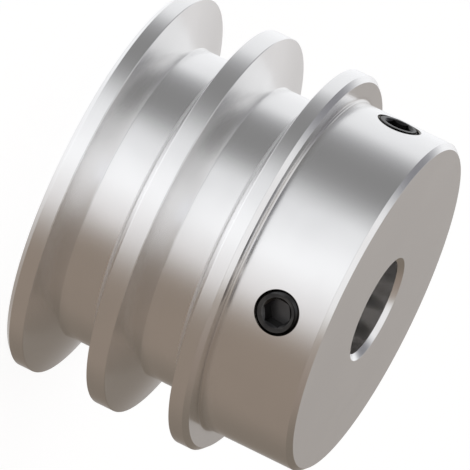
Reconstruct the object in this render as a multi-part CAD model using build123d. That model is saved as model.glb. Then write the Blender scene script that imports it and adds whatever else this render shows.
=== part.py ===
"""Round belt pulley with two V grooves, a clamping hub and two socket set screws.

The pulley stands on its back face: +Z runs along the bore from the back face to the hub's end,
and the origin is the centre of the back face. All sizes are in millimetres.
"""
import os
from math import tan, radians

from build123d import *

# Flanges and grooves, from the back face towards the hub
FLANGE_DIAMETER = 40.0
LAND_WIDTH = 2.0            # flat rim of each flange
GROOVE_COUNT = 2
GROOVE_WIDTH = 7.0          # across the mouth of a groove, at the rim
GROOVE_FLOOR_WIDTH = 4.0
GROOVE_DEPTH = 4.6          # with the widths above, flanks 36 degrees apart
GROOVE_CORNER_RADIUS = 0.4  # left by the nose of the turning tool
RIM_EDGE_RADIUS = 0.1       # where a land meets a flank

# Hub and bore
HUB_DIAMETER = 35.0
HUB_LENGTH = 10.0
HUB_ROOT_RADIUS = 0.3
BORE_DIAMETER = 10.0
EDGE_CHAMFER = 0.5          # back rim, hub-side rim, hub end and both mouths of the bore

# Set screws, size M5 with a 2.5 mm hex socket and a cup point
# The thread is drawn plain near its pitch diameter, and its hole a running gap wider
SCREW_DIAMETER = 4.4
SCREW_HOLE_GAP = 0.05       # on the radius
SCREW_TIP_CLEARANCE = 0.5   # from the tip to the bore, with no shaft clamped
SCREW_HEAD_CHAMFER = 0.25
SOCKET_ACROSS_FLATS = 2.5
SOCKET_DEPTH = 3.0
SOCKET_MOUTH_DIAMETER = 3.0
SOCKET_MOUTH_SLOPE = 30.0   # degrees down from the screw's face
CUP_DIAMETER = 2.5
CUP_DEPTH = 0.6
POINT_SLOPE = 45.0          # degrees from the screw's axis

# Where each screw sits round the hub, and how its socket is turned, in degrees
SCREWS = {
    "set_screw_front": {"angle": 270.0, "socket_turn": -5.0},
    "set_screw_side": {"angle": 180.0, "socket_turn": 10.0},
}

# Sizes that follow from those above
rim_radius = FLANGE_DIAMETER / 2
floor_radius = rim_radius - GROOVE_DEPTH
hub_radius = HUB_DIAMETER / 2
bore_radius = BORE_DIAMETER / 2
flank_run = (GROOVE_WIDTH - GROOVE_FLOOR_WIDTH) / 2
groove_pitch = LAND_WIDTH + GROOVE_WIDTH
hub_root_height = GROOVE_COUNT * groove_pitch + LAND_WIDTH
shoulder_height = rim_radius - hub_radius   # the flat step from the hub up to the last rim
shoulder_chamfer = min(EDGE_CHAMFER, shoulder_height / 3)
hub_root_radius = min(HUB_ROOT_RADIUS, shoulder_height / 3)
pulley_length = hub_root_height + HUB_LENGTH
screw_height = hub_root_height + HUB_LENGTH / 2
screw_radius = SCREW_DIAMETER / 2
screw_tip_distance = bore_radius + SCREW_TIP_CLEARANCE
screw_length = hub_radius - screw_tip_distance


def corners_at(outline, points):
    """The corners of a flat outline that lie at the given points."""
    return [
        corner for corner in outline.vertices()
        if any((Vector(*corner) - Vector(*point)).length < 1e-6 for point in points)
    ]


def turned_outline():
    """Half section of the pulley, as (radius, height) points, with its edges broken."""
    back_rim = (rim_radius, 0)
    hub_side_rim = (rim_radius, hub_root_height)
    hub_root = (hub_radius, hub_root_height)
    hub_end = (hub_radius, pulley_length)
    bore_end = (bore_radius, pulley_length)
    bore_back = (bore_radius, 0)

    groove_mouths = []
    groove_floors = []
    rim = []
    for groove in range(GROOVE_COUNT):
        start = LAND_WIDTH + groove * groove_pitch
        mouth_low = (rim_radius, start)
        floor_low = (floor_radius, start + flank_run)
        floor_high = (floor_radius, start + flank_run + GROOVE_FLOOR_WIDTH)
        mouth_high = (rim_radius, start + GROOVE_WIDTH)
        groove_mouths += [mouth_low, mouth_high]
        groove_floors += [floor_low, floor_high]
        rim += [mouth_low, floor_low, floor_high, mouth_high]

    points = [bore_back, back_rim, *rim, hub_side_rim, hub_root, hub_end, bore_end]
    outline = make_face(Polyline(*points, close=True))
    outline = chamfer(corners_at(outline, [bore_back, back_rim, hub_end, bore_end]), EDGE_CHAMFER)
    outline = chamfer(corners_at(outline, [hub_side_rim]), shoulder_chamfer)
    outline = fillet(corners_at(outline, groove_floors), GROOVE_CORNER_RADIUS)
    outline = fillet(corners_at(outline, groove_mouths), RIM_EDGE_RADIUS)
    return fillet(corners_at(outline, [hub_root]), hub_root_radius)


def screw_frame(angle):
    """Plane at the pulley's axis, facing out along a screw, with its X along the bore."""
    outward = Vector(1, 0, 0).rotate(Axis.Z, angle)
    return Plane(origin=(0, 0, screw_height), x_dir=(0, 0, 1), z_dir=outward)


def pulley_body():
    """The turned blank with a radial hole for each set screw."""
    body = revolve(Plane.XZ * turned_outline(), Axis.Z)
    hole = Cylinder(
        screw_radius + SCREW_HOLE_GAP, rim_radius, align=(Align.CENTER, Align.CENTER, Align.MIN)
    )
    for screw in SCREWS.values():
        body -= screw_frame(screw["angle"]) * hole
    return body


def set_screw(socket_turn):
    """A set screw along +Z, with its cup point on the origin and its face at the top."""
    cup_radius = CUP_DIAMETER / 2
    point_height = (screw_radius - cup_radius) / tan(radians(POINT_SLOPE))
    section = Polyline(
        (0, CUP_DEPTH),
        (cup_radius, 0),
        (screw_radius, point_height),
        (screw_radius, screw_length - SCREW_HEAD_CHAMFER),
        (screw_radius - SCREW_HEAD_CHAMFER, screw_length),
        (0, screw_length),
        close=True,
    )
    shank = revolve(Plane.XZ * make_face(section), Axis.Z)

    socket_floor = Plane.XY.offset(screw_length - SOCKET_DEPTH)
    hexagon = RegularPolygon(
        SOCKET_ACROSS_FLATS / 2, side_count=6, major_radius=False, rotation=socket_turn
    )
    socket = extrude(socket_floor * hexagon, SOCKET_DEPTH)

    mouth_radius = SOCKET_MOUTH_DIAMETER / 2
    mouth_cone = Polyline(
        (0, screw_length),
        (mouth_radius, screw_length),
        (0, screw_length - mouth_radius * tan(radians(SOCKET_MOUTH_SLOPE))),
        close=True,
    )
    return shank - socket - revolve(Plane.XZ * make_face(mouth_cone), Axis.Z)


def seated_screw(screw):
    """A set screw in its hole, its face level with the crown of the hub."""
    return screw_frame(screw["angle"]) * Pos(0, 0, screw_tip_distance) * set_screw(screw["socket_turn"])


def main():
    """Write one STEP file for each piece."""
    os.makedirs("parts", exist_ok=True)
    pieces = {"pulley_body": pulley_body()}
    for name, screw in SCREWS.items():
        pieces[name] = seated_screw(screw)
    for name, piece in pieces.items():
        export_step(piece, f"parts/{name}.step")
        print(f"{name}: {piece.volume:.1f} mm3")


main()
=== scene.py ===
# %% [markdown]
# A round belt pulley, dressed for its picture
#
# The pulley is one aluminium turning: three plain rims, two V grooves between them and a
# bored hub, which two black set screws clamp to a shaft. This lesson starts from the packed
# model of the part, which fixes every size and place, and gives each piece a finished
# surface. Lengths are in metres. The bore runs along Z, and the pulley stands on its back
# face, in the plane z = 0.

# %% Load the frame
from math import cos, pi, radians, sin, tan

import bpy
import numpy as np
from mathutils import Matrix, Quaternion, Vector


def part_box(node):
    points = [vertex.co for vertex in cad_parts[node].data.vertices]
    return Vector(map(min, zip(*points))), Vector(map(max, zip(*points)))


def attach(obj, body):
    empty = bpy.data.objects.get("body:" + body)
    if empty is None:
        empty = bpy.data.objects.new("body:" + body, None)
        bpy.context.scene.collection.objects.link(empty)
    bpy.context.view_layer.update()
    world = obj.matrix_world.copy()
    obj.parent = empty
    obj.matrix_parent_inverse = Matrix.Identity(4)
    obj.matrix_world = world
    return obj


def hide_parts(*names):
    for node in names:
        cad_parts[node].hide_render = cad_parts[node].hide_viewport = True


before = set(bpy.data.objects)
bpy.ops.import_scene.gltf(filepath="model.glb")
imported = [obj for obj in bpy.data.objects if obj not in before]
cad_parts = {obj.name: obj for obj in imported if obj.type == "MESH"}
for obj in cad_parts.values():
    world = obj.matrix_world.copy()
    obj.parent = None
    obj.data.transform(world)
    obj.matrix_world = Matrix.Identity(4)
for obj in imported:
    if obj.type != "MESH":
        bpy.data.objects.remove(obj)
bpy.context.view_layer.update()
MM = 0.001


def in_mm(lengths):
    """Lengths in metres as rounded millimetres, for printing."""
    return [round(length / MM, 3) for length in lengths]


# %% [markdown]
# The camera
#
# The photograph shows hardly any perspective, as a very long lens would from more than a
# metre away, so its circles are almost perfect ellipses. A separate program fitted the
# camera's place, turn and lens to the pulley's edges in the photograph. It stands on the
# front set screw's side, a little above it and to one side, and is rolled over so that the
# bore points to the right and down. A Track To constraint could aim it but not roll it, so
# its rotation is set directly: first level and on its aim, then rolled about its own line of
# sight.

# %% Camera
SENSOR_WIDTH = 36.0
LENS = 897.5
NEAREST_SEEN = 50 * MM
FARTHEST_SEEN = 20000 * MM
CAMERA_AZIMUTH = radians(-104.82)
CAMERA_ELEVATION = radians(13.049)
CAMERA_ROLL = radians(115.88)
CAMERA_DISTANCE = 1129.8 * MM
CAMERA_AIM = Vector((-1.381, -3.403, 14.947)) * MM

camera = bpy.data.objects.new("camera", bpy.data.cameras.new("camera"))
bpy.context.scene.collection.objects.link(camera)
bpy.context.scene.camera = camera
camera.data.sensor_width = SENSOR_WIDTH
camera.data.lens = LENS
camera.data.clip_start = NEAREST_SEEN
camera.data.clip_end = FARTHEST_SEEN

towards_camera = Vector((
    cos(CAMERA_ELEVATION) * cos(CAMERA_AZIMUTH),
    cos(CAMERA_ELEVATION) * sin(CAMERA_AZIMUTH),
    sin(CAMERA_ELEVATION),
))
camera.location = CAMERA_AIM + CAMERA_DISTANCE * towards_camera
level_look = (-towards_camera).to_track_quat("-Z", "Y")
camera.rotation_mode = "QUATERNION"
camera.rotation_quaternion = level_look @ Quaternion((0, 0, 1), CAMERA_ROLL)
print("camera at", in_mm(camera.location), "mm")

# %% [markdown]
# Sizes of the turning
#
# The outline has few driving sizes, and the frame's box gives the largest two, so the
# surface can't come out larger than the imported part. What a lathe leaves sharp is broken by
# a radius too small to measure, but it catches the light, and an edge without it looks drawn
# rather than made. A groove's floor has two corners: the tool leaves the one at the back
# sharp and puts the radius of its nose into the one towards the hub.

# %% Sizes of the turning
_, body_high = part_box("pulley_body")
RIM_RADIUS = body_high.x
PULLEY_LENGTH = body_high.z
LAND_WIDTH = 2.0 * MM
GROOVE_COUNT = 2
GROOVE_WIDTH = 7.0 * MM
GROOVE_FLOOR_WIDTH = 4.0 * MM
GROOVE_DEPTH = 4.6 * MM
SHARP_CORNER_RADIUS = 0.1 * MM
NOSE_RADIUS = 0.16 * MM
RIM_EDGE_RADIUS = 0.1 * MM
HUB_RADIUS = 17.5 * MM
HUB_ROOT_RADIUS = 0.3 * MM
BORE_RADIUS = 5.0 * MM
EDGE_CHAMFER = 0.5 * MM
EDGE_BREAK = 0.04 * MM

floor_radius = RIM_RADIUS - GROOVE_DEPTH
flank_run = (GROOVE_WIDTH - GROOVE_FLOOR_WIDTH) / 2
groove_pitch = LAND_WIDTH + GROOVE_WIDTH
hub_root_height = GROOVE_COUNT * groove_pitch + LAND_WIDTH
print("rim, floor, hub and bore radius in mm:",
      in_mm([RIM_RADIUS, floor_radius, HUB_RADIUS, BORE_RADIUS]))
print("hub from", *in_mm([hub_root_height]), "to", *in_mm([PULLEY_LENGTH]), "mm")

# %% [markdown]
# The turned outline
#
# A lathe makes the pulley by moving a tool along one outline while the work turns, and the
# surface here is made in the same way. The Screw modifier can turn an outline too, but it
# shades the result from its facets. Here the outline is a list of corners in (radius,
# height), and every corner is rounded by an arc that meets both of its sides smoothly. Each
# point then has a true direction outwards, and the metal is shaded from those directions,
# which keeps flat faces flat and arcs smooth.

# %% Rounding the corners of an outline
ARC_STEPS = 4


def rounded_outline(corners, radii):
    """Points and outward directions along an open outline with rounded corners.

    Where the outline turns by an angle a, an arc of radius R leaves the side before the
    corner at R * tan(a / 2) from it. The outward direction n turns evenly through a along
    the arc, and the arc's points are centre + R * n on an outer corner and centre - R * n on
    an inner one. The first and last corners only give the directions of the end sides.
    """
    corners = np.array(corners)
    radii = np.array(radii)
    sides = np.diff(corners, axis=0)
    sides /= np.linalg.norm(sides, axis=1)[:, None]
    before, after = sides[:-1], sides[1:]
    turn = np.arctan2(
        before[:, 0] * after[:, 1] - before[:, 1] * after[:, 0], (before * after).sum(1)
    )
    signed_radius = radii * np.sign(turn)
    start = corners[1:-1] - before * (radii * np.tan(abs(turn) / 2))[:, None]
    outward = np.stack([before[:, 1], -before[:, 0]], 1)
    centre = start - outward * signed_radius[:, None]

    angle = turn[:, None] * np.linspace(0, 1, ARC_STEPS + 1)
    normals = np.stack([
        outward[:, :1] * np.cos(angle) - outward[:, 1:] * np.sin(angle),
        outward[:, :1] * np.sin(angle) + outward[:, 1:] * np.cos(angle),
    ], -1)
    points = centre[:, None] + normals * signed_radius[:, None, None]
    return points.reshape(-1, 2), normals.reshape(-1, 2)


def turned_surface(points, normals, columns):
    """The outline carried round Z: at angle t, (r, z) goes to (r * cos t, r * sin t, z)."""
    angle = np.linspace(0, 2 * pi, columns, endpoint=False)
    grids = []
    for pair in (points, normals):
        across, along = pair[:, :1], pair[:, 1:]
        grids.append(np.stack([
            across * np.cos(angle), across * np.sin(angle), along + 0 * angle
        ], -1))
    return grids


print("points on each rounded corner:", ARC_STEPS + 1)

# %% [markdown]
# The outline in four parts
#
# The outline is cut on four straight stretches. The hub and the bore get windows there for
# the screw holes, and on the two flat ends the fine rings of the outside meet the coarser
# rings of the bore.

# %% The outline of the outside
groove_corners = []
groove_radii = []
for groove in range(GROOVE_COUNT):
    mouth = LAND_WIDTH + groove * groove_pitch
    groove_corners += [
        (RIM_RADIUS, mouth),
        (floor_radius, mouth + flank_run),
        (floor_radius, mouth + flank_run + GROOVE_FLOOR_WIDTH),
        (RIM_RADIUS, mouth + GROOVE_WIDTH),
    ]
    groove_radii += [RIM_EDGE_RADIUS, SHARP_CORNER_RADIUS, NOSE_RADIUS, RIM_EDGE_RADIUS]

back_end_face = (BORE_RADIUS + EDGE_CHAMFER, 0)
back_rim_edge = (RIM_RADIUS - EDGE_CHAMFER, 0)
hub_root = (HUB_RADIUS, hub_root_height)
hub_before_end = (HUB_RADIUS, PULLEY_LENGTH - EDGE_CHAMFER)

outside_outline = rounded_outline(
    [
        back_end_face,
        back_rim_edge,
        (RIM_RADIUS, EDGE_CHAMFER),
        *groove_corners,
        (RIM_RADIUS, hub_root_height - EDGE_CHAMFER),
        (RIM_RADIUS - EDGE_CHAMFER, hub_root_height),
        hub_root,
        hub_before_end,
    ],
    [EDGE_BREAK, EDGE_BREAK, *groove_radii, EDGE_BREAK, EDGE_BREAK, HUB_ROOT_RADIUS],
)
print("rings outside:", len(outside_outline[0]))

# %% The outline of the hub's end and of the bore
hub_end_edge = (HUB_RADIUS - EDGE_CHAMFER, PULLEY_LENGTH)
hub_end_face = (BORE_RADIUS + EDGE_CHAMFER, PULLEY_LENGTH)
bore_near_end = (BORE_RADIUS, PULLEY_LENGTH - EDGE_CHAMFER)
bore_near_back = (BORE_RADIUS, EDGE_CHAMFER)
both_edges = [EDGE_BREAK, EDGE_BREAK]

hub_end_outline = rounded_outline(
    [hub_root, hub_before_end, hub_end_edge, hub_end_face], both_edges
)
bore_end_outline = rounded_outline(
    [hub_end_edge, hub_end_face, bore_near_end, bore_near_back], both_edges
)
bore_back_outline = rounded_outline(
    [bore_near_end, bore_near_back, back_end_face, back_rim_edge], both_edges
)
print("rings at the hub's end and at each mouth of the bore:", len(hub_end_outline[0]))

# %% [markdown]
# Grids of points
#
# Each surface is a grid of points with a grid of outward directions. The rows are rings that
# close on themselves. A mesh could be built face by face, but with whole arrays the faces of
# a grid are one sum: a point's number is its row times the columns, plus its column.

# %% Faces and directions of a grid


def grid_faces(rows, columns):
    """Corner numbers of a grid's quads: along the row, then up to the next row, and back."""
    row, column = np.meshgrid(np.arange(rows - 1), np.arange(columns), indexing="ij")
    right = (column + 1) % columns
    corners = [(row, column), (row, right), (row + 1, right), (row + 1, column)]
    return np.stack([r * columns + c for r, c in corners], -1).reshape(-1, 4)


def grid_surface(points, normals, keep=None):
    """One part for weld_parts: a grid's points, faces and corner directions.

    keep is a mask of the quads, which leaves windows open where it is false.
    """
    faces = grid_faces(points.shape[0], points.shape[1])
    if keep is not None:
        faces = faces[keep.ravel()]
    return points.reshape(-1, 3), faces, normals.reshape(-1, 3)[faces]


def bent_normals(points):
    """Directions of a grid that bends freely: its column step crossed with its row step."""
    along = np.roll(points, -1, 1) - np.roll(points, 1, 1)
    up = np.gradient(points, axis=0)
    normals = np.cross(along, up)
    return normals / np.linalg.norm(normals, axis=-1, keepdims=True)


def flat_faces(points, faces):
    """Corner directions for flat quads: each face's own, its diagonals crossed."""
    corners = points[faces]
    normals = np.cross(corners[:, 2] - corners[:, 0], corners[:, 3] - corners[:, 1])
    normals /= np.linalg.norm(normals, axis=1)[:, None]
    return np.broadcast_to(normals[:, None], corners.shape)


print("a grid of 3 rings of 4 points has", len(grid_faces(3, 4)), "faces")

# %% [markdown]
# From parts to one closed mesh
#
# Neighbouring surfaces share their edge points, so once all grids are in one list, equal
# points are welded and the mesh is closed. Merging by distance in Blender would close it too,
# but it would lose the directions. Here each face corner keeps the direction of its own
# surface, so an edge between two surfaces stays crisp although its points are shared.

# %% Flat rings and discs between the grids


def step_down_ring(fine, coarse, normal, turned_over=False):
    """A flat ring between a fine circle and one with fewer points, as many-sided faces.

    Each face takes one step of the coarse circle and the share of the fine one beside it.
    """
    share = len(fine) // len(coarse)
    part = np.arange(len(coarse))
    fine_run = (part[:, None] * share + np.arange(share + 1)) % len(fine)
    coarse_pair = np.stack([(part + 1) % len(coarse), part], 1)
    faces = np.concatenate([fine_run, coarse_pair + len(fine)], 1)
    if turned_over:
        faces = faces[:, ::-1]
    normals = np.broadcast_to(np.array(normal, float), faces.shape + (3,))
    return np.concatenate([fine, coarse]), faces, normals


def disc(ring, normal, turned_over=False):
    """One many-sided face across a ring, its corners in the ring's order or against it."""
    face = np.arange(len(ring))[None]
    if turned_over:
        face = face[:, ::-1]
    return ring, face, np.broadcast_to(normal, face.shape + (3,))


stepped = step_down_ring(np.zeros((12, 3)), np.zeros((4, 3)), (0, 0, 1))
print("a step from 12 points down to 4 has faces of", stepped[1].shape[1], "corners")

# %% Welding
WELD_STEP = 1e-4 * MM


def weld_parts(name, parts):
    """One object from many parts, with equal points joined and the corner directions set.

    Points are equal where they round to the same whole number of steps in x, y and z.
    """
    points = np.concatenate([part[0] for part in parts])
    keys = np.round(points / WELD_STEP).astype(np.int64)
    _, first, joined = np.unique(keys, axis=0, return_index=True, return_inverse=True)
    joined = joined.reshape(-1)

    faces = []
    normals = []
    offset = 0
    for part_points, part_faces, part_normals in parts:
        faces += joined[part_faces + offset].tolist()
        normals.append(part_normals.reshape(-1, 3))
        offset += len(part_points)

    mesh = bpy.data.meshes.new(name)
    mesh.from_pydata(points[first].tolist(), [], faces, shade_flat=False)
    mesh.normals_split_custom_set(np.concatenate(normals).tolist())
    piece = bpy.data.objects.new(name, mesh)
    bpy.context.scene.collection.objects.link(piece)
    triangles = sum(len(face) - 2 for face in faces)
    print(name, "has", len(first), "points and", triangles, "triangles")
    return piece


print("points on the same step of", WELD_STEP / MM, "mm are welded")

# %% [markdown]
# The thread
#
# A thread is a ridge that climbs one pitch in each turn. It could be a curve wound round a
# rod, but then its ends would stick out. Its section repeats along the screw, so the radius
# at any point only depends on how far that point is, along the axis, from the middle of the
# nearest ridge. The flanks slope by 30 degrees from the plane across the axis. The same rule
# makes the screw and the hole that it runs in, with a gap between.

# %% Thread profile
SCREW_CREST_RADIUS = 2.19 * MM
THREAD_PITCH = 0.8 * MM
THREAD_DEPTH = 0.42 * MM
THREAD_GAP = 0.06 * MM
FLANK_ANGLE = radians(30)
CREST_FLAT = THREAD_PITCH / 8
HOLE_RIDGE_FLAT = THREAD_PITCH / 6


def thread_radius(along, angle, crest_radius, depth, crest_flat):
    """Radius of a right-hand thread at a distance along its axis and an angle round it.

    The ridge's middle is at along = pitch * angle / (2 * pi). From the edge of the crest the
    radius falls by 1 / tan(flank angle) of the way along, down to the root.
    """
    turns = along / THREAD_PITCH - angle / (2 * pi)
    from_crest = abs(turns - np.round(turns)) * THREAD_PITCH
    fall = np.maximum(from_crest - crest_flat / 2, 0) / tan(FLANK_ANGLE)
    return crest_radius - np.minimum(fall, depth)


print("pitch, depth and gap of the thread in mm:", in_mm([THREAD_PITCH, THREAD_DEPTH, THREAD_GAP]))

# %% [markdown]
# Windows and screw holes
#
# A radial hole meets the round hub in a curve that is not flat, so it can't be a hole
# punched in a grid of squares. A Boolean modifier would cut it, but it leaves long thin faces
# that spoil a reflection. Each hole is one long run of rings instead. The first is the square
# edge of a window that is left open in the hub. The rings then close in to the hole's rim,
# run down the tapped wall to the bore, and open out again to the edge of the bore's own
# window. Every ring has as many points as the window's edge, so everything joins.

# %% The screws' places and their windows
# For each screw: its body, its angle round the pulley and the turn of its socket
SCREWS = {
    "set_screw_front": {
        "body": "front_screw", "angle": radians(270), "socket_turn": radians(85),
    },
    "set_screw_side": {
        "body": "side_screw", "angle": radians(180), "socket_turn": radians(100),
    },
}
SCREW_HOLE_RADIUS = 2.25 * MM
HUB_WINDOW = {"columns": 360, "half_columns": 15, "rows": 30, "half_height": 3.6 * MM}
BORE_WINDOW = {"columns": 120, "half_columns": 14, "rows": 32, "half_height": 3.4 * MM}

screw_height = (hub_root_height + PULLEY_LENGTH) / 2
ring_points = 2 * (2 * HUB_WINDOW["half_columns"] + HUB_WINDOW["rows"])
assert ring_points == 2 * (2 * BORE_WINDOW["half_columns"] + BORE_WINDOW["rows"])
print("screws at", *in_mm([screw_height]), "mm, with", ring_points, "points in each ring")

# %% A round wall with its windows


def windowed_cylinder(start, end, side, columns, half_columns, rows, half_height):
    """A round wall from one outline point to another, with a window open for each screw.

    At angle t and height z the point is (R * cos t, R * sin t, z). side is 1 where the wall
    faces out and -1 where it faces the axis.
    """
    radius = start[0]
    way = np.sign(end[1] - start[1])
    window = screw_height + way * np.linspace(-half_height, half_height, rows + 1)
    heights = np.array([start[1], *window, end[1]])
    outline = np.stack([np.full(len(heights), radius), heights], 1)
    normals = np.broadcast_to([float(side), 0.0], outline.shape)
    points, normals = turned_surface(outline, normals, columns)

    keep = np.ones((len(heights) - 1, columns), bool)
    for screw in SCREWS.values():
        middle = round(screw["angle"] / (2 * pi) * columns)
        keep[1:-1, middle - half_columns:middle + half_columns] = False
    return grid_surface(points, normals, keep=keep)


def window_edge(radius, columns, half_columns, rows, half_height):
    """A window's edge round its middle: (way round the wall, height) from the lower left."""
    half_width = half_columns * 2 * pi / columns * radius
    across = np.linspace(-half_width, half_width, 2 * half_columns + 1)[:-1]
    up = np.linspace(-half_height, half_height, rows + 1)[:-1]
    return np.concatenate([
        np.stack([across, np.full(len(across), -half_height)], 1),
        np.stack([np.full(len(up), half_width), up], 1),
        np.stack([-across, np.full(len(across), half_height)], 1),
        np.stack([np.full(len(up), -half_width), -up], 1),
    ])


hub_window_edge = window_edge(HUB_RADIUS, **HUB_WINDOW)
bore_window_edge = window_edge(BORE_RADIUS, **BORE_WINDOW)
print("half width and height of the hub's window in mm:", in_mm(hub_window_edge.max(0)))

# %% From a window to the hole's rim
WINDOW_STEPS = 6
RIM_CROWDING = 1.5
first_corner_angle = radians(-135)
ring_angle = first_corner_angle + np.linspace(0, 2 * pi, ring_points, endpoint=False)


def window_rings(edge, radius):
    """Rings from the hole's rim, at share 0, out to the window's edge, at share 1.

    The rim is the hole's circle laid on the wall: a point that lies y across is at
    radius * asin(y / radius) round it. Each ring is a straight mix of the two, and a power
    of the share crowds the rings towards the rim.
    """
    rim = np.stack([
        radius * np.arcsin(SCREW_HOLE_RADIUS * np.cos(ring_angle) / radius),
        SCREW_HOLE_RADIUS * np.sin(ring_angle),
    ], 1)
    share = np.linspace(0, 1, WINDOW_STEPS + 1)[:, None, None] ** RIM_CROWDING
    return rim + share * (edge - rim)


def wrapped(flat, radius, angle, side):
    """Rings laid on a round wall: (w, h) goes to the angle w / R round it and h up it."""
    turn = angle + flat[..., 0] / radius
    outward = np.stack([np.cos(turn), np.sin(turn), 0 * turn], -1)
    points = outward * radius
    points[..., 2] = screw_height + flat[..., 1]
    return points, outward * side


print("rings from a window to its hole:", WINDOW_STEPS + 1)

# %% Points round a screw's axis


def hole_frame(angle):
    """The directions out along a screw, across it round the pulley, and up."""
    out = np.array([cos(angle), sin(angle), 0])
    across = np.array([-sin(angle), cos(angle), 0])
    return out, across, np.array([0, 0, 1.0])


def placed(along, radius, turn, angle):
    """Points round a screw's axis: along * out + radius * (cos t * across + sin t * up)."""
    along, radius, turn = np.broadcast_arrays(along, radius, turn)
    out, across, up = hole_frame(angle)
    points = (
        along[..., None] * out
        + (radius * np.cos(turn))[..., None] * across
        + (radius * np.sin(turn))[..., None] * up
    )
    points[..., 2] += screw_height
    return points


for node, screw in SCREWS.items():
    print(node, "faces", [round(c) for c in hole_frame(screw["angle"])[0]])

# %% The tapped wall of a hole
WALL_STEPS = 126


def hole_wall(angle):
    """The tapped wall between hub and bore, as rings from the outside inwards.

    A ring's points lie at sqrt(R * R - y * y) along the hole on a wall of radius R. The
    thread is the screw's own, turned inside out and half a turn on, so its ridges lie in
    the screw's grooves. Each end has a 45 degree lead-in.
    """
    y = SCREW_HOLE_RADIUS * np.cos(ring_angle)
    outer = np.sqrt(HUB_RADIUS ** 2 - y ** 2)
    inner = np.sqrt(BORE_RADIUS ** 2 - y ** 2)
    share = np.linspace(0, 1, WALL_STEPS + 1)[:, None]
    along = outer + share * (inner - outer)
    from_end = np.minimum(outer - along, along - inner)

    ridge_top = SCREW_CREST_RADIUS - THREAD_DEPTH + THREAD_GAP
    depth = SCREW_HOLE_RADIUS - ridge_top
    ridge = thread_radius(along, ring_angle + pi, 0.0, depth, HOLE_RIDGE_FLAT)
    radius = np.maximum(ridge_top - ridge, SCREW_HOLE_RADIUS - from_end)
    points = placed(along, radius, ring_angle, angle)
    return points, bent_normals(points)


def screw_hole(angle):
    """The three grids of one hole: hub window, tapped wall and bore window."""
    hub_rings = window_rings(hub_window_edge, HUB_RADIUS)[::-1]
    bore_rings = window_rings(bore_window_edge, BORE_RADIUS)
    return [
        grid_surface(*wrapped(hub_rings, HUB_RADIUS, angle, 1)),
        grid_surface(*hole_wall(angle)),
        grid_surface(*wrapped(bore_rings, BORE_RADIUS, angle, -1)),
    ]


print("rings down each tapped wall:", WALL_STEPS + 1)

# %% [markdown]
# The whole turning
#
# The parts now follow each other from the back face, round the outside to the hub's end, and
# back through the bore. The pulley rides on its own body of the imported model, stands in place
# of the plain solid there, and takes its finish from the slot for turned aluminium.

# %% The whole turning
outside = turned_surface(*outside_outline, HUB_WINDOW["columns"])
hub_end = turned_surface(*hub_end_outline, HUB_WINDOW["columns"])
bore_end = turned_surface(*bore_end_outline, BORE_WINDOW["columns"])
bore_back = turned_surface(*bore_back_outline, BORE_WINDOW["columns"])

pulley = weld_parts("turned_pulley", [
    grid_surface(*outside),
    windowed_cylinder(outside_outline[0][-1], hub_end_outline[0][0], 1, **HUB_WINDOW),
    grid_surface(*hub_end),
    step_down_ring(hub_end[0][-1], bore_end[0][0], (0, 0, 1)),
    grid_surface(*bore_end),
    windowed_cylinder(bore_end_outline[0][-1], bore_back_outline[0][0], -1, **BORE_WINDOW),
    grid_surface(*bore_back),
    step_down_ring(outside[0][0], bore_back[0][-1], (0, 0, -1), turned_over=True),
    *(part for screw in SCREWS.values() for part in screw_hole(screw["angle"])),
])
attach(pulley, "pulley")
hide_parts("pulley_body")

# %% [markdown]
# The set screws
#
# A cup-point set screw has no head. One end is a flat ring round a hexagon socket, the other
# a sharp cup that bites the shaft, and everything between is thread. It is made like the
# holes, from rings round its own axis, so that the thread's ends can taper away. The radius
# of the shank is the smallest of three shapes: the thread, the chamfer at the face and the
# cone of the point.

# %% The threaded shank and the cup
SCREW_COLUMNS = 96
SCREW_ROWS = 181
CUP_ROWS = 5
SCREW_TIP_CLEARANCE = 0.5 * MM
SCREW_FACE_RADIUS = 1.95 * MM
FACE_CHAMFER_SLOPE = radians(30)
CUP_RADIUS = 1.25 * MM
CUP_DEPTH = 0.6 * MM
CUP_CENTRE_SHARE = 0.02

screw_face = HUB_RADIUS
screw_tip = BORE_RADIUS + SCREW_TIP_CLEARANCE
print("screws from", *in_mm([screw_tip]), "to", *in_mm([screw_face]), "mm from the bore's axis")


def shank_radius(along, turn):
    """The least of the thread, face radius + tan(slope) * way in, and cup radius + way up."""
    thread = thread_radius(along, turn, SCREW_CREST_RADIUS, THREAD_DEPTH, CREST_FLAT)
    chamfer = SCREW_FACE_RADIUS + tan(FACE_CHAMFER_SLOPE) * (screw_face - along)
    return np.minimum(np.minimum(thread, chamfer), CUP_RADIUS + along - screw_tip)


def shank_and_cup(turn, angle):
    """The parts of a screw below its face. The cup is a cone that sinks into the tip."""
    along = np.linspace(screw_tip, screw_face, SCREW_ROWS)[:, None]
    shank = placed(along, shank_radius(along, turn), turn, angle)
    share = np.linspace(CUP_CENTRE_SHARE, 1, CUP_ROWS)[:, None]
    cup = placed(screw_tip + CUP_DEPTH * (1 - share), CUP_RADIUS * share, turn, angle)
    out, _, _ = hole_frame(angle)
    return [
        disc(cup[0], -out, turned_over=True),
        grid_surface(cup, bent_normals(cup)),
        grid_surface(shank, bent_normals(shank)),
    ]


# %% [markdown]
# The socket
#
# The hexagon key fits a six-sided hole whose mouth is opened by a short cone. Cutting it
# with a Boolean modifier would leave slivers along the cone, so the socket is rings again.
# In a ring, the radius of a hexagon is half its width across flats, divided by the cosine of
# the angle from the middle of the nearest flat. The ring at the face starts where the thread
# runs out, so it joins the shank point by point.

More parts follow.
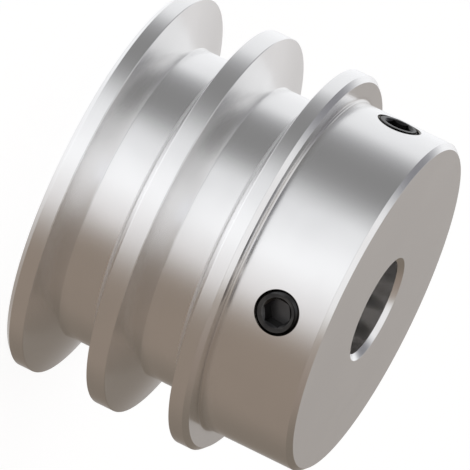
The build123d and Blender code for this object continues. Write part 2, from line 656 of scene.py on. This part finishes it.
# %% The face ring and the socket
FACE_ROWS = 3
HEXAGON_SIDES = 6
SOCKET_ACROSS_FLATS = 2.5 * MM
SOCKET_DEPTH = 2.3 * MM
SOCKET_MOUTH_RADIUS = 1.5 * MM
SOCKET_MOUTH_SLOPE = radians(45)
SOCKET_CENTRE_RADIUS = 0.4 * MM

socket_floor = screw_face - SOCKET_DEPTH


def band(start, end, turn, angle):
    """Two rings of points, each given as its way along the screw's axis and its radius."""
    return np.stack([placed(*ring, turn, angle) for ring in (start, end)])


def face_and_socket(turn, socket_turn, angle):
    """The parts of a screw from its face ring down to the floor of its socket."""
    run_out = shank_radius(screw_face, turn)
    share = np.linspace(0, 1, FACE_ROWS)[:, None]
    ring_radius = run_out + share * (SOCKET_MOUTH_RADIUS - run_out)
    ring = placed(screw_face, ring_radius, turn, angle)

    side_angle = 2 * pi / HEXAGON_SIDES
    from_corner = (turn - socket_turn + side_angle / 2) % side_angle - side_angle / 2
    hexagon = SOCKET_ACROSS_FLATS / 2 / np.cos(side_angle / 2 - abs(from_corner))
    mouth_end = screw_face - (SOCKET_MOUTH_RADIUS - hexagon) * tan(SOCKET_MOUTH_SLOPE)
    mouth = band((screw_face, SOCKET_MOUTH_RADIUS), (mouth_end, hexagon), turn, angle)
    walls = band((mouth_end, hexagon), (socket_floor, hexagon), turn, angle)
    floor = band((socket_floor, hexagon), (socket_floor, SOCKET_CENTRE_RADIUS), turn, angle)

    out, _, _ = hole_frame(angle)
    wall_points = walls.reshape(-1, 3)
    wall_faces = grid_faces(*walls.shape[:2])
    return [
        grid_surface(ring, np.broadcast_to(out, ring.shape)),
        grid_surface(mouth, bent_normals(mouth)),
        (wall_points, wall_faces, flat_faces(wall_points, wall_faces)),
        grid_surface(floor, np.broadcast_to(out, floor.shape)),
        disc(floor[1], out),
    ]


print("socket floor", *in_mm([socket_floor]), "mm from the bore's axis")

# %% Both screws
screw_pieces = []
for node, screw in SCREWS.items():
    turn = screw["socket_turn"] + np.linspace(0, 2 * pi, SCREW_COLUMNS, endpoint=False)
    piece = weld_parts("threaded_" + node, [
        *shank_and_cup(turn, screw["angle"]),
        *face_and_socket(turn, screw["socket_turn"], screw["angle"]),
    ])
    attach(piece, screw["body"])
    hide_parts(node)
    screw_pieces.append(piece)

# %% [markdown]
# Node helpers
#
# A material is a graph of nodes, and building it by hand takes three lines a node. These
# helpers make a node, fill its inputs with numbers or with other nodes' outputs, and give
# back what comes next, so that a material below reads like a formula.

# %% Node helpers
MIX_COLOUR_INPUTS = {"share": 0, "first": 6, "second": 7}
MIX_COLOUR_OUTPUT = 2


def add_node(tree, kind, inputs, **settings):
    """A node with its settings, whose inputs are numbers or the outputs of other nodes."""
    made = tree.nodes.new(kind)
    for name, value in settings.items():
        setattr(made, name, value)
    for key, value in inputs.items():
        if isinstance(value, bpy.types.NodeSocket):
            tree.links.new(value, made.inputs[key])
        else:
            made.inputs[key].default_value = value
    return made


def calculate(tree, operation, *values):
    """The output of a Math node on numbers or sockets."""
    inputs = dict(enumerate(values))
    return add_node(tree, "ShaderNodeMath", inputs, operation=operation).outputs[0]


def distance(tree, across, up, centre=(0, 0)):
    """How far (across, up) is from a centre: the root of the sum of the squared sides."""
    sides = [calculate(tree, "SUBTRACT", *pair) for pair in zip((across, up), centre)]
    squares = [calculate(tree, "MULTIPLY", side, side) for side in sides]
    return calculate(tree, "SQRT", calculate(tree, "ADD", *squares))


def blend_colours(tree, share, first, second):
    """The first colour where share is 0 and the second where it is 1."""
    values = {"share": share, "first": first, "second": second}
    inputs = {MIX_COLOUR_INPUTS[key]: value for key, value in values.items()}
    return add_node(tree, "ShaderNodeMix", inputs, data_type="RGBA").outputs[MIX_COLOUR_OUTPUT]


def spread(tree, mask, lowest, highest):
    """A mask of 0 to 1 laid out evenly over lowest to highest."""
    inputs = {"Value": mask, "To Min": lowest, "To Max": highest}
    return add_node(tree, "ShaderNodeMapRange", inputs).outputs[0]


def soft_mask(tree, value, zero_at, one_at):
    """A mask that is 0 from zero_at on, 1 from one_at on, and a smooth step between."""
    inputs = {"Value": value, "From Min": zero_at, "From Max": one_at}
    return add_node(
        tree, "ShaderNodeMapRange", inputs, interpolation_type="SMOOTHSTEP"
    ).outputs[0]


print("a Mix node takes its share and two colours at", list(MIX_COLOUR_INPUTS.values()))

# %% [markdown]
# Turning marks and handled patches
#
# A pulley like this is turned from bar, tumbled for a moment to take the burrs off, and left
# bare. Its surface is white metal with a satin sheen. The tool leaves rings that are too
# fine to see one by one, and they show only as a slight unevenness of the sheen. An
# anisotropic shader would stretch the highlights, which the real ones don't show. So the
# rings are noise, and since they follow the tool, the noise depends on the distance from the
# axis and on the height, and on nothing else. The screws are turned too, each round its own
# axis, so the pattern is a node group that takes the two distances as its inputs. A second
# group gives the broad, faint patches that hands and the cleaning bath leave on bare metal.

# %% Turning marks
RING_NOISE_DETAIL = 2.0


def new_group(name, inputs, outputs):
    """A shader node group: its tree, what it is given and where its results go."""
    group = bpy.data.node_groups.new(name, "ShaderNodeTree")
    for socket, kind in inputs.items():
        group.interface.new_socket(socket, in_out="INPUT", socket_type="NodeSocket" + kind)
    for socket in outputs:
        group.interface.new_socket(socket, in_out="OUTPUT", socket_type="NodeSocketFloat")
    given = group.nodes.new("NodeGroupInput").outputs
    result = group.nodes.new("NodeGroupOutput").inputs
    return group, given, result


turning_marks, given, result = new_group(
    "turning marks", {"Radius": "Float", "Height": "Float", "Pitch": "Float"}, ["Marks"]
)
ring_place = add_node(turning_marks, "ShaderNodeCombineXYZ", {
    "X": calculate(turning_marks, "DIVIDE", given["Radius"], given["Pitch"]),
    "Y": calculate(turning_marks, "DIVIDE", given["Height"], given["Pitch"]),
})
rings = add_node(
    turning_marks, "ShaderNodeTexNoise",
    {"Vector": ring_place.outputs[0], "Scale": 1.0, "Detail": RING_NOISE_DETAIL},
    noise_dimensions="2D",
)
turning_marks.links.new(rings.outputs[0], result["Marks"])
print("turning marks take", [socket.name for socket in given if socket.name])

# %% Handled patches
PATCH_NOISE_DETAIL = 3.0
PATCH_NOISE_LOW = 0.35
PATCH_NOISE_HIGH = 0.65

handled_patches, given, result = new_group(
    "handled patches", {"Place": "Vector", "Size": "Float"}, ["Patches"]
)
noise = add_node(handled_patches, "ShaderNodeTexNoise", {
    "Vector": given["Place"],
    "Scale": calculate(handled_patches, "DIVIDE", 1.0, given["Size"]),
    "Detail": PATCH_NOISE_DETAIL,
})
clearer = soft_mask(handled_patches, noise.outputs[0], PATCH_NOISE_LOW, PATCH_NOISE_HIGH)
handled_patches.links.new(clearer, result["Patches"])
print("node groups:", sorted(group.name for group in bpy.data.node_groups))

# %% [markdown]
# Where a point lies
#
# Both finishes depend on where a point lies on the piece, so both start from the Object
# coordinates, which move with the piece. The wear, and the oil and painted shade in the
# holes, are round the screws, so they need the way along the nearer screw and the distance
# from its axis.

# %% A new material and its coordinates


def new_material(name):
    """A material with a Principled shader: the material, its node tree and the shader."""
    material = bpy.data.materials.new(name)
    material.use_nodes = True
    tree = material.node_tree
    tree.nodes.clear()
    shader = tree.nodes.new("ShaderNodeBsdfPrincipled")
    add_node(tree, "ShaderNodeOutputMaterial", {"Surface": shader.outputs["BSDF"]})
    return material, tree, shader


def object_place(tree):
    """The Object coordinates, as one vector and as x, y and z."""
    place = tree.nodes.new("ShaderNodeTexCoord").outputs["Object"]
    return place, add_node(tree, "ShaderNodeSeparateXYZ", {"Vector": place}).outputs


def place_group(tree, group, inputs):
    """The first output of a node group placed in a tree with its own values."""
    return add_node(tree, "ShaderNodeGroup", inputs, node_tree=group).outputs[0]


def place_on_screws(tree, axes):
    """How far a point lies along the nearer screw, and how far from that screw's axis.

    One screw lies along -Y and the other along -X. The way along is the larger of -x and -y,
    and the way across is the smaller of |x| and |y|.
    """
    backwards = [calculate(tree, "MULTIPLY", axes[name], -1.0) for name in ("X", "Y")]
    sideways = [calculate(tree, "ABSOLUTE", axes[name]) for name in ("X", "Y")]
    along = calculate(tree, "MAXIMUM", *backwards)
    across = calculate(tree, "MINIMUM", *sideways)
    return along, distance(tree, across, axes["Z"], (0, screw_height))


print("node groups that a material can place:", len(bpy.data.node_groups))

# %% [markdown]
# The colour of turned aluminium
#
# Bare aluminium gives back nine tenths of the light, more than most metals, and in a groove
# the light is given back twice. So the colour has to be right, or the flanks come out dull
# although the rims are bright. It varies by a few percent. Round the tapped holes the colour
# is darkened between the threads, partly for dark cutting oil and partly as painted shade in
# the holes, and the corner at the hub's root is darkened as painted shade. Both could be
# painted on, but masks by distance stay sharp at any size of picture.

# %% The colour of turned aluminium
ALUMINIUM = (0.91, 0.905, 0.90, 1)
ALUMINIUM_HANDLED = (0.88, 0.875, 0.87, 1)
# Painted shade: the darker colour in the corner at the hub's root
ROOT_SHADE_ALUMINIUM = (0.73, 0.715, 0.70, 1)
# Dark cutting oil and painted shade in the tapped holes
OIL_AND_SHADE_IN_THREAD = (0.18, 0.17, 0.155, 1)
ROOT_SHADE_REACH = 0.7 * MM
OIL_AND_SHADE_EDGE = 0.05 * MM
PATCH_SIZE = 9 * MM

aluminium, tree, shader = new_material("turned aluminium")
place, axes = object_place(tree)
from_bore_axis = distance(tree, axes["X"], axes["Y"])
patches = place_group(tree, handled_patches, {"Place": place, "Size": PATCH_SIZE})
bare = blend_colours(tree, patches, ALUMINIUM, ALUMINIUM_HANDLED)

# Painted shade: the metal darkens towards the corner at the hub's root
from_root = distance(tree, from_bore_axis, axes["Z"], (HUB_RADIUS, hub_root_height))
root_shade = soft_mask(tree, from_root, ROOT_SHADE_REACH, 0.0)
with_root_shade = blend_colours(tree, root_shade, bare, ROOT_SHADE_ALUMINIUM)

# Dark cutting oil and painted shade: the metal darkens round each screw's hole, outside the bore
along, from_axis = place_on_screws(tree, axes)
near_screw = soft_mask(tree, from_axis, SCREW_HOLE_RADIUS + OIL_AND_SHADE_EDGE, SCREW_HOLE_RADIUS)
outside_bore = calculate(tree, "GREATER_THAN", along, BORE_RADIUS)
oil_and_shade = calculate(tree, "MULTIPLY", near_screw, outside_bore)
tree.links.new(blend_colours(tree, oil_and_shade, with_root_shade, OIL_AND_SHADE_IN_THREAD), shader.inputs["Base Color"])
shader.inputs["Metallic"].default_value = 1.0
pulley.data.materials.append(aluminium)
print("bare aluminium gives back", ALUMINIUM[:3], "of the light")

# %% [markdown]
# The sheen of turned aluminium
#
# The rings change the roughness a little and tilt the surface by less than a degree, through
# a bump of a fifth of a micron. The grooves are finished towards the hub, so the tool's round
# nose rubs the metal in the corner on that side, which leaves it duller than the rest. The
# grooves repeat, so one corner stands for all: the height above the first rim's middle,
# modulo the pitch and less half of it, is the height above the middle of a groove.

# %% The sheen of turned aluminium
RING_PITCH = 0.07 * MM
RING_DEPTH = 0.0002 * MM
TORN_REACH = 0.3 * MM
TORN_ROUGHNESS = 0.3
PATCH_ROUGHNESS = (0.18, 0.22)
RING_ROUGHNESS = (-0.02, 0.04)

marks = place_group(tree, turning_marks, {
    "Radius": from_bore_axis, "Height": axes["Z"], "Pitch": RING_PITCH,
})
from_first_rim = calculate(tree, "SUBTRACT", axes["Z"], LAND_WIDTH / 2)
repeated = calculate(tree, "FLOORED_MODULO", from_first_rim, groove_pitch)
from_middle = calculate(tree, "SUBTRACT", repeated, groove_pitch / 2)
from_corner = distance(
    tree, from_middle, from_bore_axis, (GROOVE_FLOOR_WIDTH / 2, floor_radius)
)
torn = soft_mask(tree, from_corner, TORN_REACH, TORN_REACH / 2)

turned = calculate(
    tree, "ADD", spread(tree, patches, *PATCH_ROUGHNESS), spread(tree, marks, *RING_ROUGHNESS)
)
roughness = calculate(tree, "ADD", turned, spread(tree, torn, 0.0, TORN_ROUGHNESS))
tree.links.new(roughness, shader.inputs["Roughness"])
bump = add_node(tree, "ShaderNodeBump", {"Height": marks, "Distance": RING_DEPTH})
tree.links.new(bump.outputs[0], shader.inputs["Normal"])
print("roughness of clean metal:", PATCH_ROUGHNESS[0], "plus", TORN_ROUGHNESS, "where torn")

# %% [markdown]
# Black oxide
#
# The screws are blackened in a hot salt bath and oiled, which leaves steel almost black with
# a soft sheen, and a little paler where the oxide is thin. A key rubs the edge of the socket
# back to dark grey, and its end polishes the socket's floor. The shader stays a metal,
# because so thin a layer still shows the steel's shine. Both screws share one material.

# %% The colour of black oxide
BLACK_OXIDE = (0.046, 0.046, 0.047, 1)
THIN_OXIDE = (0.075, 0.074, 0.072, 1)
RUBBED_STEEL = (0.11, 0.11, 0.11, 1)
SOCKET_FLOOR_STEEL = (0.105, 0.103, 0.103, 1)
SCREW_PATCH_SIZE = 1.2 * MM
RUB_REACH = 0.12 * MM
FLOOR_RUB_REACH = 0.1 * MM

black_oxide, tree, shader = new_material("black oxide steel")
place, axes = object_place(tree)
along, from_axis = place_on_screws(tree, axes)
patches = place_group(tree, handled_patches, {"Place": place, "Size": SCREW_PATCH_SIZE})
oxide = blend_colours(tree, patches, BLACK_OXIDE, THIN_OXIDE)

from_mouth = distance(tree, from_axis, along, (SOCKET_MOUTH_RADIUS, screw_face))
rubbed = soft_mask(tree, from_mouth, RUB_REACH, 0.0)
worn = calculate(tree, "MULTIPLY", rubbed, patches)
blackened = blend_colours(tree, worn, oxide, RUBBED_STEEL)

on_floor = calculate(tree, "LESS_THAN", along, socket_floor + FLOOR_RUB_REACH)
in_socket = calculate(tree, "LESS_THAN", from_axis, SOCKET_MOUTH_RADIUS)
polished = calculate(tree, "MULTIPLY", on_floor, in_socket)
colour = blend_colours(tree, polished, blackened, SOCKET_FLOOR_STEEL)
tree.links.new(colour, shader.inputs["Base Color"])
shader.inputs["Metallic"].default_value = 1.0
for piece in screw_pieces:
    piece.data.materials.append(black_oxide)
print("black oxide gives back", BLACK_OXIDE[:3], "of the light")

# %% The sheen of black oxide
SCREW_RING_PITCH = 0.05 * MM
SCREW_PATCH_ROUGHNESS = (0.32, 0.38)
SCREW_RING_ROUGHNESS = (-0.03, 0.05)

marks = place_group(tree, turning_marks, {
    "Radius": from_axis, "Height": along, "Pitch": SCREW_RING_PITCH,
})
roughness = calculate(
    tree, "ADD",
    spread(tree, patches, *SCREW_PATCH_ROUGHNESS), spread(tree, marks, *SCREW_RING_ROUGHNESS),
)
tree.links.new(roughness, shader.inputs["Roughness"])
print("materials:", sorted(m.name for m in bpy.data.materials if m.users))

# %% [markdown]
# The studio
#
# Bright metal has hardly a colour of its own: it shows the room that it stands in. The grey
# and brown bands on the hub are that room, bent round a cylinder, so the room has to be
# made before the metal can look right. Lamps alone would show as small white spots, so the
# room is painted on the world, by direction. A direction is given as a photographer would
# say it, from the camera and the picture's own upright: turned to the right by so many
# degrees, and raised by so many.
#
# The values of the room and its boards weren't chosen by eye. A separate program fitted them
# to the shading of the metal in the photograph, and they were then rounded, moved a little
# and mostly made brighter. The names only say what may have stood there.

# %% Directions in the studio
picture_axes = camera.rotation_quaternion.to_matrix()


def studio_direction(turned, raised):
    """The unit vector (cos(raised) sin(turned), sin(raised), cos(raised) cos(turned))
    on the picture's axes, where x is right, y is up and z is towards the camera."""
    turned, raised = radians(turned), radians(raised)
    level = cos(raised)
    return picture_axes @ Vector((level * sin(turned), sin(raised), level * cos(turned)))


upright = studio_direction(0, 90)
print("the picture's upright is", [round(c, 2) for c in upright])

# %% [markdown]
# Table, walls and ceiling
#
# Below lies a warm brown table, the walls are as white as the picture's background, and above
# is an unlit ceiling. They run into each other without a line, so one colour ramp over the
# height of a direction holds all three.

# %% Table, walls and ceiling
ROOM_LEVELS = [
    (-90, (0.24, 0.18, 0.15)),
    (-37, (0.42, 0.38, 0.34)),
    (-12, (0.75, 0.73, 0.73)),
    (13, (1.02, 1.03, 1.05)),
    (58, (0.89, 0.90, 0.92)),
    (90, (0.33, 0.33, 0.35)),
]
MIDDLE_OF_RAMP = 0.5

world = bpy.data.worlds.new("studio")
bpy.context.scene.world = world
world.use_nodes = True
room = world.node_tree
room.nodes.clear()
outward = room.nodes.new("ShaderNodeTexCoord").outputs["Generated"]


def towards(direction):
    """The cosine of the angle between a ray and a direction: their dot product."""
    return add_node(
        room, "ShaderNodeVectorMath", {0: outward, 1: direction}, operation="DOT_PRODUCT"
    ).outputs["Value"]


def ramp_place(raised):
    """Where a height in degrees lies on a ramp from straight down, 0, to straight up, 1."""
    return (1 + sin(radians(raised))) / 2


height_in_room = add_node(
    room, "ShaderNodeMapRange", {"Value": towards(upright), "From Min": -1.0}
)
ramp = add_node(room, "ShaderNodeValToRGB", {"Fac": height_in_room.outputs[0]})
stops = ramp.color_ramp.elements
while len(stops) < len(ROOM_LEVELS):
    stops.new(MIDDLE_OF_RAMP)
for stop, (raised, colour) in zip(stops, ROOM_LEVELS):
    stop.position = ramp_place(raised)
    stop.color = (*colour, 1)
room_colour = ramp.outputs["Color"]
print("heights on the ramp:", [round(stop.position, 2) for stop in stops])

# %% [markdown]
# Boards and lights
#
# A key light, a cool card and a window are brighter than what lies round them. Dull boards
# above, to the right and at the table's far sides give the metal its shading. The camera
# with its boom and tripod is dark, and the square corner at the hub's root shows it as thin
# dark lines, because a square corner sends light back the way that it came. Each is a round
# patch with a soft edge, painted over what came before it.

# %% Boards and lights
# Name: direction, radius and softness in degrees, colour
BOARDS = {
    "key light": ((-58, 31), 22, 14, (1.38, 1.40, 1.44)),
    "cool card": ((24, -8), 9, 4, (1.20, 1.25, 1.36)),
    "window": ((65, -22), 15, 7, (0.92, 0.92, 0.93)),
    "upper board": ((60, 58), 27, 17, (0.23, 0.23, 0.23)),
    "right board": ((109, 23), 18, 17, (0.23, 0.23, 0.25)),
    "left brown board": ((-112, -52), 61, 17, (0.28, 0.23, 0.19)),
    "rear brown board": ((170, -39), 26, 23, (0.20, 0.17, 0.14)),
    "boom above the camera": ((17, 26), 16, 11, (0.14, 0.14, 0.16)),
    "camera": ((3, 0), 14, 3, (0.02, 0.02, 0.02)),
    "tripod": ((-12, -26), 10, 4, (0.03, 0.02, 0.02)),
}

for board, (direction, radius, softness, colour) in BOARDS.items():
    faded_at = cos(radians(radius + softness))
    full_at = cos(radians(max(radius - softness, 0)))
    share = soft_mask(room, towards(studio_direction(*direction)), faded_at, full_at)
    room_colour = blend_colours(room, share, room_colour, (*colour, 1))
    print(board, "covers", radius, "degrees round", direction)

# %% [markdown]
# The background
#
# The picture's background is plain white. The camera sees white in the world and on the
# floor, at a strength of 1, so the background needs no more light than the pulley gets. The
# metal sees the studio's white walls and what stands in front of them.

# %% Background
BACKGROUND = (1, 1, 1, 1)


def seen_directly(tree):
    """A mask that is 1 for rays that come straight from the camera, through glass or not."""
    rays = tree.nodes.new("ShaderNodeLightPath").outputs
    return calculate(tree, "MAXIMUM", rays["Is Camera Ray"], rays["Is Transmission Ray"])


shown = blend_colours(room, seen_directly(room), room_colour, BACKGROUND)
background = add_node(room, "ShaderNodeBackground", {"Color": shown, "Strength": 1.0})
add_node(room, "ShaderNodeOutputWorld", {"Surface": background.outputs[0]})
print("nodes in the studio:", len(room.nodes))

# %% [markdown]
# The floor
#
# The pulley stands on its back face on a pale floor, but the picture is turned on its side,
# and in it the studio's floor is at the bottom, not under the back face. So this floor takes
# no part in what the metal shows: glossy rays and shadow rays pass it and reach the studio.
# It catches the pulley's soft shadow, which is faint, because most of its white is the
# background's own, and only the rest is lit.

# %% Floor
FLOOR_HALF = 2500 * MM
FLOOR_GREY = (0.26, 0.26, 0.26, 1)
FLOOR_OWN_WHITE = 0.87

corners = [(-1, -1), (1, -1), (1, 1), (-1, 1)]
floor_mesh = bpy.data.meshes.new("floor")
floor_mesh.from_pydata(
    [(x * FLOOR_HALF, y * FLOOR_HALF, 0) for x, y in corners], [], [(0, 1, 2, 3)]
)
floor = bpy.data.objects.new("floor", floor_mesh)
bpy.context.scene.collection.objects.link(floor)
floor.visible_glossy = False
floor.visible_shadow = False

white_floor, tree, shader = new_material("white floor")
shader.inputs["Base Color"].default_value = FLOOR_GREY
shader.inputs["Roughness"].default_value = 1.0
shader.inputs["Specular IOR Level"].default_value = 0.0
shader.inputs["Emission Color"].default_value = BACKGROUND
glow = calculate(tree, "MULTIPLY", seen_directly(tree), FLOOR_OWN_WHITE)
tree.links.new(glow, shader.inputs["Emission Strength"])
floor.data.materials.append(white_floor)
print("floor", *in_mm([2 * FLOOR_HALF]), "mm wide, its own white", FLOOR_OWN_WHITE)

# %% [markdown]
# Colour and bounces
#
# The Standard view shows each colour as it is written. Light that falls into the bore goes
# from wall to wall a dozen times before it comes out. Blender follows it for only four of
# them unless it is told to go on, and the bore would stay black where the picture is grey.

# %% Colour and bounces
GLOSSY_BOUNCES = 12

scene = bpy.context.scene
scene.view_settings.view_transform = "Standard"
scene.cycles.glossy_bounces = GLOSSY_BOUNCES
print("view:", scene.view_settings.view_transform, "with", GLOSSY_BOUNCES, "glossy bounces")
